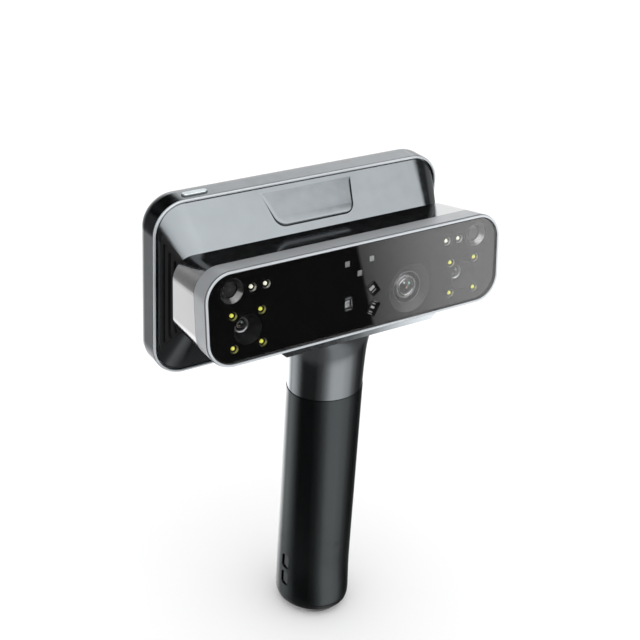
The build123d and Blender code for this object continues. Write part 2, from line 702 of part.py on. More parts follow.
# ---------------------------------------------------------------- thumb keys
def keypad_frame():
    plate = block(keypad_outline(), 17.6, 22.4, z=KEYPAD_Z)
    front_edges = plate.faces().sort_by(Axis.Y)[-1].edges()
    plate = chamfer(front_edges, 0.5)
    plate -= block(keypad_outline(-2.4), 16.0, 20.0, z=KEYPAD_Z)
    plate -= block(Circle(SCAN_R + KEY_PLAY), 15, 30, z=KEYPAD_Z)
    for side in (-1, 1):
        plate -= block(Circle(KEY_R + KEY_PLAY), 15, 30, z=KEYPAD_Z + side * KEY_PITCH)
    return plate


def thumb_key(radius, z, mark):
    """A round key with a retaining flange; its mark is a shallow recess."""
    key = block(Circle(radius), 18.6, 23.2, z=z)
    key = chamfer(key.faces().sort_by(Axis.Y)[-1].edges(), 0.35)
    key += block(Circle(radius + 0.45), 18.2, 19.3, z=z)
    for width, height in mark:
        key -= block(Rectangle(width, height), 22.95, 24.0, z=z)
    return key


def scan_button():
    key = thumb_key(SCAN_R, KEYPAD_Z, ())
    return key - tube(2.6, 2.0, 22.95, 24.0, z=KEYPAD_Z)


def key_board():
    board = block(RectangleRounded(12.6, 27.0, 2.0), 13.2, 14.4, z=KEYPAD_Z)
    for z in (-KEY_PITCH, 0.0, KEY_PITCH):
        board += block(Circle(1.8), 14.3, 17.2, z=KEYPAD_Z + z)
    return board


# ---------------------------------------------------------------- electronics in the head
def mainboard():
    board = block(RectangleRounded(150, 62, 3), 40.0, 41.6, x=10.0, z=232.0)
    for x, z, width, height, rise in ((20, 240, 22, 22, 2.0), (-8, 238, 14, 14, 1.4), (52, 236, 16, 12, 1.2),
                                      (30, 214, 24, 10, 2.4), (-20, 216, 12, 9, 1.6)):
        board += block(Rectangle(width, height), 40.0 - rise, 40.1, x, z)
    return board


def heat_sink():
    base = block(RectangleRounded(86, 40, 2), 34.4, 36.6, x=4.0, z=238.0)
    for row in range(13):
        z = 221.0 + row * 2.8
        base += box((-38.5, 27.0, z), (45.0, 34.5, z + 1.1))
    return base


def fan_housing():
    shell = block(RectangleRounded(44, 42, 5), 18.0, 32.0, FAN_X, FAN_Z)
    shell -= block(Circle(FAN_ROTOR_R + 1.4), 19.4, 30.6, FAN_X, FAN_Z)
    shell -= block(Circle(13.0), 16, 20, FAN_X, FAN_Z)
    shell -= box((FAN_X - 25, 19.4, FAN_Z - 12), (FAN_X, 30.6, FAN_Z + 12))
    return shell + block(Circle(1.0), 20.2, 31.0, FAN_X, FAN_Z)


def fan_rotor():
    rotor = tube(7.0, 1.05, 20.4, 29.6, FAN_X, FAN_Z)
    ring = tube(FAN_ROTOR_R, FAN_ROTOR_R - 1.0, 26.8, 28.4, FAN_X, FAN_Z)
    blade = box((6.6, 21.0, -0.5), (FAN_ROTOR_R - 0.4, 28.2, 0.5))
    rotor += ring
    for number in range(11):
        turn = Pos(FAN_X, 0, FAN_Z) * Rot(0, number * 360 / 11, 0)
        rotor += turn * blade
    return rotor


def display_carrier():
    """The plate that holds the screen and the mainboard."""
    plate = head_block(3.2, CARRIER_FRONT, CARRIER_FRONT + 1.6)
    for x in (-60, 0, 60):
        plate -= block(RectangleRounded(36, 60, 6), 44, 48, x, HEAD_CENTRE_Z)
    for x in (-60.0, 80.0):
        for z in (206.0, 258.0):
            plate += block(Circle(2.6), 41.7, CARRIER_FRONT + 0.2, x, z)
    plate -= box((90.0, PORT_Y - 7, 201.0), (99.0, PORT_Y + 7, 231.0))
    for x, z in CARRIER_SCREWS:
        plate -= block(Circle(1.15), 44, 48, x, z)
    return plate


def neck_bracket():
    foot = column(Ellipse(19.5, 16.0), 204.1, 207.0)
    web = BAR_FRAME * box((-14, 29.0, -40.0), (14, 32.4, 2.0))
    web = web & box((-20, -30, 206.5), (20, 20, 260))
    return foot + web


def speaker():
    body = block(RectangleRounded(30, 12, 3), 36.0, 40.0, 40.0, 190.5)
    return body - block(RectangleRounded(26, 8, 2), 35.0, 36.8, 40.0, 190.5)


def motion_sensor_board():
    return BAR_FRAME * (block(RectangleRounded(16, 12, 1), 29.4, 30.8, -35.0, 4.0)
                        + block(Rectangle(4, 4), 30.7, 31.8, -35.0, 4.0))


def screws_along_y(places, start, length, head_r=2.0, shank_r=1.0):
    screws = []
    for x, z in places:
        head = block(Circle(head_r), start, start + 1.3, x, z) - block(RegularPolygon(0.9, 6), start + 0.6,
                                                                     start + 2.0, x, z)
        screws.append(head + block(Circle(shank_r), start - length, start + 0.1, x, z))
    return screws


def bench_screws():
    return [BAR_FRAME * screw for screw in screws_along_y(BENCH_SCREWS, 28.7, 2.6)]


def carrier_screws():
    """Screws driven from the front through the carrier into the housing's flange."""
    screws = []
    for x, z in CARRIER_SCREWS:
        head = block(Circle(1.9), CARRIER_FRONT - 1.3, CARRIER_FRONT, x, z)
        head -= block(RegularPolygon(0.9, 6), CARRIER_FRONT - 2.0, CARRIER_FRONT - 0.6, x, z)
        screws.append(head + block(Circle(1.0), CARRIER_FRONT - 0.1, CARRIER_FRONT + 4.2, x, z))
    return screws


def build():
    save(display_housing(), "display_housing")
    save(housing_trim_ring(), "housing_trim_ring")
    save(display_bezel(), "display_bezel")
    save(display_glass(), "display_glass")
    save(display_panel(), "display_panel")
    save(display_carrier(), "display_carrier")
    save_group(carrier_screws() + bench_screws(), "inner_screws")
    save(hood_shell(), "hood_shell")
    save(vent_grille(-1), "left_vent_grille")
    save(vent_grille(1), "right_vent_grille")
    save(badge_plate(), "badge_plate")
    save(power_button(), "power_button")
    save(power_switch(), "power_switch")
    save(usb_port(), "usb_port")
    save(port_cover(), "port_cover")
    save(port_cover_pin(), "port_cover_pin")
    save(bar_front_frame(), "bar_front_frame")
    save(bar_trim_ring(), "bar_trim_ring")
    save(glass_gasket(), "glass_gasket")
    save(sensor_glass(), "sensor_glass")
    save(glass_mask(), "glass_mask")
    save(bar_housing(), "bar_housing")
    save(optical_bench(), "optical_bench")
    for side, (x, z) in zip(("left", "right"), both_sides(*STEREO)):
        save(stereo_barrel(x, z), f"{side}_camera_barrel")
        save(stereo_lens(x, z), f"{side}_camera_lens")
    save(texture_barrel(), "texture_camera_barrel")
    save(texture_lens(), "texture_camera_lens")
    save_group(camera_boards() + [motion_sensor_board()], "sensor_boards")
    save_group(flood_light_cups(), "flood_light_cups")
    save_group(flood_light_lenses(), "flood_light_lenses")
    save_group(led_rings(WHITE_LEDS + YELLOW_LEDS), "led_rings")
    save_group(leds(WHITE_LEDS), "white_leds")
    save_group(leds(YELLOW_LEDS), "marker_leds")
    save_group(led_boards(), "led_boards")
    save_group(laser_modules(), "laser_modules")
    save_group(laser_lenses(), "laser_lenses")
    save(proximity_sensor(), "proximity_sensor")
    save(neck_front_shell(), "neck_front_shell")
    save(neck_rear_shell(), "neck_rear_shell")
    save(neck_bracket(), "neck_bracket")
    save(grip_sleeve(), "grip_sleeve")
    save(handle_core(), "handle_core")
    save(lanyard_anchor(), "lanyard_anchor")
    save(grip_end_cap(), "grip_end_cap")
    save_group(end_cap_screws(), "end_cap_screws")
    save(battery_holder(), "battery_holder")
    save_group(battery_cells(), "battery_cells")
    save(battery_contact_board(), "battery_contact_board")
    save(keypad_frame(), "keypad_frame")
    save(scan_button(), "scan_button")
    save(thumb_key(KEY_R, KEYPAD_Z + KEY_PITCH, ((3.0, 0.6), (0.6, 3.0))), "plus_key")
    save(thumb_key(KEY_R, KEYPAD_Z - KEY_PITCH, ((3.0, 0.6),)), "minus_key")
    save(key_board(), "key_board")
    save(mainboard(), "mainboard")
    save(heat_sink(), "heat_sink")
    save(fan_housing(), "fan_housing")
    save(fan_rotor(), "fan_rotor")
    save(speaker(), "speaker")


build()
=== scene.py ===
import json
import math

import bmesh
import bpy
from mathutils import Matrix, Vector


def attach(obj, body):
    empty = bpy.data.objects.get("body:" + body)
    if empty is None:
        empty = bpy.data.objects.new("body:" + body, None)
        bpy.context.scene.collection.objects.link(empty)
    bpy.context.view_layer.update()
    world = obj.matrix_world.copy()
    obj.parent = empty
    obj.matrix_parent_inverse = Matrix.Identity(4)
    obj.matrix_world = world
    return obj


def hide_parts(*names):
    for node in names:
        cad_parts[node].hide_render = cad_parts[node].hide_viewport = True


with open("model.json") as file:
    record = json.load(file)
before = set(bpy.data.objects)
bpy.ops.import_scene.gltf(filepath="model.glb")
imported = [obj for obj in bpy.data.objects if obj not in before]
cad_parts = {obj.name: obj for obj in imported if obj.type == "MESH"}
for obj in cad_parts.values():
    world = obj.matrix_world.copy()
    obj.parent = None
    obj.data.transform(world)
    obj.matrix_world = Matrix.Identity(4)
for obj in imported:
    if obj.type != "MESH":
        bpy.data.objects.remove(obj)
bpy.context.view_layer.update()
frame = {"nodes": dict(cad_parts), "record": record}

NODES = frame["nodes"]

CAMERA_PLACE = Vector((-0.3953, -0.5610, 0.5776))
CAMERA_AZIMUTH = math.radians(34.715)
CAMERA_ELEVATION = math.radians(28.314)
CAMERA_ROLL = math.radians(3.758)
CAMERA_LENS = 73.1
SENSOR_WIDTH = 36.0

BAR_PITCH = math.radians(-7.2)
BAR_ORIGIN = Vector((0.0, -0.0304, 0.244))
BAR_TURN = Matrix.Rotation(BAR_PITCH, 4, "X")
BAR_INWARD = BAR_TURN.to_3x3() @ Vector((0.0, 1.0, 0.0))
MM = 0.001

# Places on the sensor bar: x and z in millimetres from the middle of its front.
STEREO = (74.6, -8.5)
TEXTURE = (34.6, -8.3)
CORNER = (83.6, 15.6)
WHITE_LAMPS = ((71.0, 15.2), (62.1, 15.2))
YELLOW_LAMPS = ((83.6, 1.0), (65.5, 1.0), (83.6, -18.3), (65.5, -18.3))
SQUARE_LASERS = ((-9.0, 15.6), (7.8, 15.6), (-0.6, 8.5))
PROXIMITY = (-9.1, -8.7)
BAR_SIZE = (202.0, 56.0, 16.5)   # width, height, corner radius
# x, z, turn in degrees, width, height
LINE_LASERS = ((8.5, -2.5, 34.0, 6.1, 7.5), (8.4, -14.6, -30.0, 5.8, 8.5))


def on_bar(x, depth, z):
    """A point given in the sensor bar's own frame, in millimetres."""
    return BAR_ORIGIN + BAR_TURN.to_3x3() @ (Vector((x, depth, z)) * MM)


# ---------------------------------------------------------------- node helpers

class Tree:
    """Short calls for building one node tree."""

    def __init__(self, nodes, links):
        self.nodes, self.links = nodes, links

    def add(self, kind, **settings):
        node = self.nodes.new(kind)
        for name, value in settings.items():
            setattr(node, name, value)
        return node

    def join(self, start, end):
        self.links.new(start, end)

    def put(self, socket, value):
        if isinstance(value, bpy.types.NodeSocket):
            self.links.new(value, socket)
        else:
            socket.default_value = value

    def maths(self, operation, a, b=0.0, clamp=False):
        node = self.add("ShaderNodeMath", operation=operation, use_clamp=clamp)
        self.put(node.inputs[0], a)
        self.put(node.inputs[1], b)
        return node.outputs[0]

    def noise(self, where, scale, detail, rough=0.5):
        node = self.add("ShaderNodeTexNoise")
        self.put(node.inputs["Vector"], where)
        node.inputs["Scale"].default_value = scale
        node.inputs["Detail"].default_value = detail
        node.inputs["Roughness"].default_value = rough
        return node.outputs["Fac"]

    def remap(self, value, low, high, to_low, to_high):
        node = self.add("ShaderNodeMapRange", interpolation_type="SMOOTHSTEP")
        self.put(node.inputs["Value"], value)
        for name, number in (("From Min", low), ("From Max", high),
                             ("To Min", to_low), ("To Max", to_high)):
            node.inputs[name].default_value = number
        return node.outputs["Result"]

    def mix(self, factor, a, b):
        node = self.add("ShaderNodeMix", data_type="RGBA")
        self.put(node.inputs[0], factor)
        for socket, colour in ((node.inputs[6], a), (node.inputs[7], b)):
            self.put(socket, colour if isinstance(colour, bpy.types.NodeSocket)
                     else (*colour, 1.0))
        return node.outputs[2]

    def bump(self, height, strength, distance):
        node = self.add("ShaderNodeBump")
        self.put(node.inputs["Height"], height)
        node.inputs["Strength"].default_value = strength
        node.inputs["Distance"].default_value = distance
        return node.outputs["Normal"]

    def curve(self, value, stops):
        """A table of brightness with straight runs between (place 0 to 1, level) stops."""
        node = self.add("ShaderNodeValToRGB")
        ramp = node.color_ramp
        ramp.interpolation = "LINEAR"
        while len(ramp.elements) > 1:
            ramp.elements.remove(ramp.elements[-1])
        for index, (place, level) in enumerate(stops):
            stop = ramp.elements[0] if index == 0 else ramp.elements.new(place)
            stop.position = place
            stop.color = (level, level, level, 1.0)
        self.put(node.inputs["Fac"], value)
        return node.outputs["Color"]


def scaled(colour, factor):
    return tuple(min(1.0, channel * factor) for channel in colour)


# ------------------------------------------------------------------- materials

COAT_ROUGHNESS = 0.05
DRIFT_SCALE = 45.0
SMEAR_SCALE = 130.0
GRAIN_SCALE = 2500.0
GRAIN_DEPTH = 0.0002
RUBBED_RADIUS = 0.0006
RUBBED_COLOUR = (0.8, 0.8, 0.8)
# Painted shade: the black that the deep parts of wells are painted.
PAINTED_SHADE_BLACK = (0.003, 0.003, 0.003)
GLINT_OUTER, GLINT_INNER = 1.15, 0.7   # where a glint fades, as shares of its radius


def surface(name, colour, metallic=0.0, roughness=0.4, ior=1.5, coat=0.0,
            grain=0.0, vary=0.06, rough_vary=0.04, wear=0.0, transmission=0.0,
            glow=0.0, painted_well_shade=None, glints=(), sheen_colour=(1.0, 1.0, 1.0)):
    """A worked surface: colour and gloss drift, fine grain, rubbed edges, painted shade in
    wells, painted glints.

    The well depth pair gives the two depths in the bar, in millimetres, between which a well is
    painted black as shade.
    """
    material = bpy.data.materials.new(name)
    material.use_nodes = True
    tree = Tree(material.node_tree.nodes, material.node_tree.links)
    shader = tree.nodes["Principled BSDF"]
    shader.inputs["Metallic"].default_value = metallic
    shader.inputs["IOR"].default_value = ior
    shader.inputs["Coat Weight"].default_value = coat
    shader.inputs["Coat Roughness"].default_value = COAT_ROUGHNESS
    shader.inputs["Transmission Weight"].default_value = transmission
    shader.inputs["Emission Color"].default_value = (*colour, 1.0)
    shader.inputs["Emission Strength"].default_value = glow
    shader.inputs["Specular Tint"].default_value = (*sheen_colour, 1.0)
    place = tree.add("ShaderNodeTexCoord").outputs["Object"]
    drift = tree.noise(place, DRIFT_SCALE, 2.0)
    smear = tree.noise(place, SMEAR_SCALE, 4.0, 0.6)
    tint = tree.mix(drift, scaled(colour, 1.0 - vary), scaled(colour, 1.0 + vary))
    if wear > 0.0:
        bevel = tree.add("ShaderNodeBevel", samples=4)
        bevel.inputs["Radius"].default_value = RUBBED_RADIUS
        true_normal = tree.add("ShaderNodeNewGeometry").outputs["Normal"]
        compare = tree.add("ShaderNodeVectorMath", operation="DOT_PRODUCT")
        tree.join(bevel.outputs["Normal"], compare.inputs[0])
        tree.join(true_normal, compare.inputs[1])
        edge = tree.remap(compare.outputs["Value"], 0.97, 0.85, 0.0, wear)
        patchy = tree.remap(smear, 0.35, 0.65, 0.2, 1.0)
        tint = tree.mix(tree.maths("MULTIPLY", edge, patchy), tint, RUBBED_COLOUR)
    # Painted shade: the colour turns black deeper into the bar's wells.
    if painted_well_shade is not None:
        start, end = painted_well_shade
        away = tree.add("ShaderNodeVectorMath", operation="DOT_PRODUCT")
        tree.join(tree.add("ShaderNodeTexCoord").outputs["Object"], away.inputs[0])
        away.inputs[1].default_value = BAR_INWARD
        depth = tree.maths("SUBTRACT", away.outputs["Value"], BAR_ORIGIN.dot(BAR_INWARD))
        shade_share = tree.remap(depth, start * MM, end * MM, 0.0, 1.0)
        tint = tree.mix(shade_share, tint, PAINTED_SHADE_BLACK)
    # Painted glints: coloured reflection spots painted into the base colour.
    for centre, radius, glint_colour in glints:
        reach = tree.add("ShaderNodeVectorMath", operation="DISTANCE")
        tree.join(tree.add("ShaderNodeTexCoord").outputs["Object"], reach.inputs[0])
        reach.inputs[1].default_value = centre
        spot = tree.remap(reach.outputs["Value"], radius * GLINT_OUTER, radius * GLINT_INNER,
                          0.0, 1.0)
        tint = tree.mix(spot, tint, glint_colour)
    tree.join(tint, shader.inputs["Base Color"])
    gloss = tree.remap(smear, 0.25, 0.75, max(0.0, roughness - rough_vary),
                       roughness + rough_vary)
    tree.join(gloss, shader.inputs["Roughness"])
    if grain > 0.0:
        fine = tree.noise(place, GRAIN_SCALE, 2.0, 0.6)
        tree.join(tree.bump(fine, grain, GRAIN_DEPTH), shader.inputs["Normal"])
    return material


GUNMETAL = (0.19, 0.205, 0.215)
# Painted glints: reflection spots painted into the lens colour in place of inner reflections.
GREEN_GLINT = (0.35, 0.8, 0.6)
AMBER_GLINT = (0.75, 0.42, 0.22)
PALE_GLINT = (0.8, 0.9, 0.88)
STEREO_GLINT_DEPTH = 10.8
TEXTURE_GLINT_DEPTH = 5.5
# Each painted glint: x and z from the lens's middle, radius (millimetres), colour.
STEREO_GLINTS = ((1.1, 0.9, 0.62, GREEN_GLINT), (-0.6, -0.6, 0.5, AMBER_GLINT))
TEXTURE_GLINTS = ((2.6, 1.7, 0.95, GREEN_GLINT), (-1.2, 2.6, 0.7, PALE_GLINT),
                  (0.3, -0.6, 0.7, AMBER_GLINT))
PAINTED_LENS_GLINTS = [(on_bar(side * STEREO[0] + dx, STEREO_GLINT_DEPTH, STEREO[1] + dz),
                radius * MM, colour)
               for side in (-1, 1) for dx, dz, radius, colour in STEREO_GLINTS]
PAINTED_LENS_GLINTS += [(on_bar(TEXTURE[0] + dx, TEXTURE_GLINT_DEPTH, TEXTURE[1] + dz),
                 radius * MM, colour)
                for dx, dz, radius, colour in TEXTURE_GLINTS]

SLOTS = {
    "gunmetal": dict(colour=GUNMETAL, metallic=1.0, roughness=0.16, grain=0.015, wear=0.2),
    "bright_trim": dict(colour=(0.6, 0.63, 0.66), metallic=0.35, roughness=0.4),
    "bezel_black": dict(colour=(0.012, 0.012, 0.014), roughness=0.12, coat=0.5),
    "screen_glass": dict(colour=(0.006, 0.006, 0.008), roughness=0.04, ior=1.5),
    "panel": dict(colour=(0.008, 0.009, 0.011), roughness=0.2),
    "inner_metal": dict(colour=(0.55, 0.56, 0.58), metallic=1.0, roughness=0.35,
                        grain=0.08),
    "screw_steel": dict(colour=(0.5, 0.5, 0.52), metallic=1.0, roughness=0.28),
    "vent_black": dict(colour=(0.008, 0.008, 0.009), roughness=0.5, grain=0.1),
    "button_metal": dict(colour=(0.6, 0.65, 0.67), metallic=0.8, roughness=0.3,
                         grain=0.04),
    "switch_black": dict(colour=(0.02, 0.02, 0.02), roughness=0.5, grain=0.1),
    "cover_rubber": dict(colour=(0.02, 0.021, 0.022), roughness=0.6, grain=0.2),
    "silver_frame": dict(colour=(0.37, 0.385, 0.4), metallic=0.5, roughness=0.35,
                         grain=0.02, wear=0.2),
    "gasket_rubber": dict(colour=(0.006, 0.006, 0.006), roughness=0.55, grain=0.1),
    "sensor_glass": dict(colour=(1.0, 1.0, 1.0), roughness=0.0, rough_vary=0.0,
                         vary=0.0, transmission=1.0, ior=1.45),
    "mask_print": dict(colour=(0.0015, 0.0015, 0.0015), roughness=0.6, ior=1.0),
    "silver_body": dict(colour=(0.6, 0.6, 0.61), metallic=1.0, roughness=0.12,
                        grain=0.012, wear=0.15),
    "barrel_black": dict(colour=(0.028, 0.029, 0.03), metallic=0.5, roughness=0.35,
                         grain=0.03),
    # lens_glass carries the painted glints.
    "lens_glass": dict(colour=(0.004, 0.005, 0.006), roughness=0.05, ior=1.45,
                       glints=PAINTED_LENS_GLINTS),
    "board": dict(colour=(0.012, 0.06, 0.03), roughness=0.35, grain=0.1),
    # cup_grey and ring_dark carry painted shade: black deeper in their wells.
    "cup_grey": dict(colour=(0.24, 0.24, 0.245), metallic=1.0, roughness=0.3,
                     painted_well_shade=(4.7, 5.0)),
    "ring_dark": dict(colour=(0.55, 0.56, 0.58), metallic=1.0, roughness=0.3,
                      painted_well_shade=(3.1, 3.4)),
    "led_white": dict(colour=(0.9, 0.9, 0.75), roughness=0.3, glow=0.62),
    "led_yellow": dict(colour=(0.84, 0.84, 0.12), roughness=0.3, glow=0.5),
    "laser_grey": dict(colour=(0.22, 0.225, 0.23), roughness=0.4, grain=0.05),
    "neck_silver": dict(colour=(0.46, 0.49, 0.51), metallic=1.0, roughness=0.1,
                        rough_vary=0.02, grain=0.006, wear=0.2),
    "grip_black": dict(colour=(0.0015, 0.0016, 0.0018), roughness=0.12, ior=2.1,
                       rough_vary=0.02, grain=0.002, sheen_colour=(0.86, 0.97, 1.0)),
    "cap_black": dict(colour=(0.006, 0.006, 0.007), roughness=0.2, ior=1.9),
    "inner_plastic": dict(colour=(0.03, 0.03, 0.033), roughness=0.5, grain=0.1),
    "cell_wrap": dict(colour=(0.03, 0.08, 0.22), roughness=0.3, coat=0.3),
    "key_metal": dict(colour=(0.3, 0.31, 0.32), roughness=0.45, grain=0.1),
}

MATERIALS = {name: surface(name, **look) for name, look in SLOTS.items()}
SLOT_OF = {row["node"]: row["material_slot"] for row in frame["record"]["subparts"]}

for node_name, obj in NODES.items():
    obj.data.materials.clear()
    obj.data.materials.append(MATERIALS[SLOT_OF[node_name]])


# ---------------------------------------------------------------- added pieces

LATHE_STEPS = 56
SHARP_ANGLE = math.radians(28.0)


def lathe(mesh, profile, x, z):
    """Turns a closed outline of (radius, depth) about an axis that runs into the bar."""
    rings = []
    for radius, depth in profile:
        count = LATHE_STEPS if radius > 0.0 else 1
        angles = [2.0 * math.pi * step / LATHE_STEPS for step in range(count)]
        rings.append([mesh.verts.new(on_bar(x + radius * math.cos(a), depth,
                                            z + radius * math.sin(a)))
                      for a in angles])
    for first, second in zip(rings, rings[1:] + rings[:1]):
        if len(first) + len(second) > 2:
            for step in range(LATHE_STEPS):
                after = (step + 1) % LATHE_STEPS
                corners = (first[step % len(first)], first[after % len(first)],
                           second[after % len(second)], second[step % len(second)])
                mesh.faces.new(list(dict.fromkeys(corners)))


def rounded(width, height, radius, steps=5):
    """A rectangle's outline with round corners, about its centre."""
    points = []
    for quarter, (sx, sy) in enumerate(((1, 1), (-1, 1), (-1, -1), (1, -1))):
        for step in range(steps + 1):
            angle = math.pi / 2.0 * (quarter + step / steps)
            points.append((sx * (width / 2 - radius) + radius * math.cos(angle),
                           sy * (height / 2 - radius) + radius * math.sin(angle)))
    return points


def turned(points, x, z, angle):
    """An outline turned by degrees and moved to x, z on the bar."""
    c, s = math.cos(math.radians(angle)), math.sin(math.radians(angle))
    return [(x + u * c - v * s, z + u * s + v * c) for u, v in points]


def bridge(mesh, first, second):
    """Joins two rings of equally many points with four-sided faces."""
    count = len(first)
    for step in range(count):
        after = (step + 1) % count
        mesh.faces.new((first[step], first[after], second[after], second[step]))


def tile(mesh, x, z, angle, centre, size, front, back, radius=0.12, edge=0.08):
    """A small plate with softened front edges, placed in a turned window of the bar."""
    (u, v), (width, height) = centre, size
    rings = []
    for inset, depth in ((edge, front), (0.0, front + edge), (0.0, back)):
        outline = [(u + a, v + b) for a, b in rounded(width - 2 * inset, height - 2 * inset,
                                                      max(radius - inset, 0.02), 3)]
        rings.append([mesh.verts.new(on_bar(px, depth, pz))
                      for px, pz in turned(outline, x, z, angle)])
    bridge(mesh, rings[0], rings[1])
    bridge(mesh, rings[1], rings[2])
    mesh.faces.new(rings[0])
    mesh.faces.new(rings[2])


SLEEVE_CORNER = 0.3


def sleeve(mesh, x, z, angle, outer, wall, front, back):
    """A thin rectangular liner, open at both ends."""
    rings = []
    for inset, depth in ((0.0, front), (0.0, back), (wall, back), (wall, front)):
        outline = rounded(outer[0] - 2 * inset, outer[1] - 2 * inset,
                          SLEEVE_CORNER - inset * 0.5, 3)
        rings.append([mesh.verts.new(on_bar(px, depth, pz))
                      for px, pz in turned(outline, x, z, angle)])
    for first, second in zip(rings, rings[1:] + rings[:1]):
        bridge(mesh, first, second)


def finish_piece(name, mesh, slot, material=None, stands_for=()):
    """Makes an object of a mesh, riding the body, with its slot and what it replaces."""
    bmesh.ops.recalc_face_normals(mesh, faces=mesh.faces)
    for face in mesh.faces:
        face.smooth = True
    for edge in mesh.edges:
        edge.smooth = edge.is_manifold and edge.calc_face_angle(0.0) < SHARP_ANGLE
    data = bpy.data.meshes.new(name)
    mesh.to_mesh(data)
    mesh.free()
    data.materials.append(material or MATERIALS[slot])
    obj = bpy.data.objects.new(name, data)
    bpy.context.scene.collection.objects.link(obj)
    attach(obj, "scanner")
    if stands_for:
        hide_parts(*stands_for)


# A darker copy of the gunmetal: painted shade for the display housing.
SHADED_HOUSING_GUNMETAL = surface("housing_gunmetal_painted_shade", scaled(GUNMETAL, 0.78), metallic=1.0,
                           roughness=0.14, grain=0.012, wear=0.2)
RING_GREY = surface("ring_grey", (0.45, 0.45, 0.46), metallic=1.0, roughness=0.3,
                    grain=0.02)
RING_BRIGHT = surface("ring_bright", (0.85, 0.85, 0.86), metallic=1.0, roughness=0.3,
                      grain=0.02)
SOFT_GLASS = surface("soft_glass", (0.14, 0.14, 0.145), metallic=1.0, roughness=0.25)
LINER_BLACK = surface("liner_black", (0.003, 0.003, 0.003), roughness=0.7, grain=0.05)
WINDOW_GREY = surface("window_grey", (0.5, 0.51, 0.52), roughness=0.45, grain=0.05,
                      vary=0.1)
CHIP_DARK = surface("chip_dark", (0.018, 0.018, 0.019), roughness=0.4, grain=0.05,
                    vary=0.1)
TRAY_SLATE = surface("tray_slate", (0.06, 0.068, 0.072), metallic=0.6, roughness=0.35,
                     grain=0.02)
DIE_GREY = surface("die_grey", (0.04, 0.04, 0.042), roughness=0.35, grain=0.05, vary=0.1)

# Outlines for lathe: (radius, depth) in millimetres.
STEREO_RING = ((4.55, 9.75), (4.2, 9.55), (3.75, 9.75), (3.2, 10.5), (3.1, 11.2),
               (4.5, 11.3))
STEREO_LIP = ((2.35, 10.7), (2.15, 10.35), (1.95, 10.35), (1.85, 10.75))
TEXTURE_INNER = ((5.3, 6.7), (5.2, 5.6), (5.0, 5.4), (4.8, 5.5), (4.65, 5.9), (4.65, 6.5))
TEXTURE_RIM = ((9.86, 4.58), (9.7, 4.42), (9.45, 4.42), (9.32, 4.6), (9.32, 4.75),
               (9.86, 4.75))
TEXTURE_FRONT = ((5.35, 6.6), (5.5, 5.75), (6.1, 5.3), (6.9, 5.3), (7.6, 5.75),
                 (7.95, 6.3), (7.95, 6.9), (5.35, 6.9))
LAMP_DOME = ((0.0, 2.75), (0.45, 2.83), (0.85, 3.1), (1.1, 3.5), (1.18, 4.0), (1.18, 5.2),
             (0.0, 5.2))
LAMP_SEAT = ((1.22, 3.95), (1.3, 3.8), (1.9, 3.8), (2.02, 3.95), (2.02, 4.6), (1.22, 4.6))


def camera_rings():
    """Machined rings round the lenses, catching light on their chamfers."""
    mesh = bmesh.new()
    for side in (-1, 1):
        lathe(mesh, STEREO_RING, side * STEREO[0], STEREO[1])
        lathe(mesh, STEREO_LIP, side * STEREO[0], STEREO[1])
    finish_piece("camera_rings", mesh, "barrel_black", RING_GREY)
    mesh = bmesh.new()
    lathe(mesh, TEXTURE_INNER, *TEXTURE)
    finish_piece("texture_inner_ring", mesh, "barrel_black", RING_BRIGHT)
    mesh = bmesh.new()
    lathe(mesh, TEXTURE_RIM, *TEXTURE)
    lathe(mesh, TEXTURE_FRONT, *TEXTURE)
    finish_piece("texture_front_ring", mesh, "barrel_black", SOFT_GLASS)


def lamp_domes():
    """Small domed lamps on dark seats at the bottom of their rings."""
    for name, places, node in (("white_lamp_domes", WHITE_LAMPS, "white_leds"),
                               ("marker_lamp_domes", YELLOW_LAMPS, "marker_leds")):
        mesh = bmesh.new()
        seats = bmesh.new()
        for x, z in places:
            for side in (-1, 1):
                lathe(mesh, LAMP_DOME, side * x, z)
                lathe(seats, LAMP_SEAT, side * x, z)
        finish_piece(name, mesh, SLOT_OF[node], None, [node])
        finish_piece(name.replace("domes", "seats"), seats, SLOT_OF[node], LINER_BLACK)


def glass_border():
    """The dark print that reaches the cover glass's edge."""
    outer, inner, front, back = 2.38, 2.9, 1.83, 2.15
    width, height, corner = BAR_SIZE
    mesh = bmesh.new()
    rings = []
    for inset, depth in ((outer, front), (outer, back), (inner, back), (inner, front)):
        outline = rounded(width - 2 * inset, height - 2 * inset, corner - inset, 14)
        rings.append([mesh.verts.new(on_bar(x, depth, z)) for x, z in outline])
    for first, second in zip(rings, rings[1:] + rings[:1]):
        bridge(mesh, first, second)
    finish_piece("glass_border", mesh, SLOT_OF["glass_mask"])


WINDOW_DEPTHS = (2.4, 2.95)   # front and back of the tiles behind the print
QUARTER_SHIFT = 0.86
QUARTER_SIZE = (1.62, 1.62)
BAR_DEPTHS = (2.5, 3.1)
# Bars on each slanted laser's face: centre and size, before the face is turned.
LINE_BARS = ((((0.3, 2.2), (3.2, 0.6)), ((-0.85, -0.5), (2.1, 2.0)),
              ((1.05, -0.5), (1.5, 2.0)), ((0.0, -3.0), (3.4, 0.35))),
             (((0.9, 3.85), (3.6, 0.45)), ((0.5, 2.4), (2.8, 0.5)),
              ((0.6, 0.15), (3.2, 1.3)), ((0.7, -2.7), (3.1, 0.5)),
              ((1.0, -3.95), (3.4, 0.4))))
LINER_WALL = 0.12
LINER_DEPTHS = (0.02, 3.0)
LINER_FLOOR_DEPTHS = (2.85, 3.3)
LINER_FLOOR_GAP = 0.3


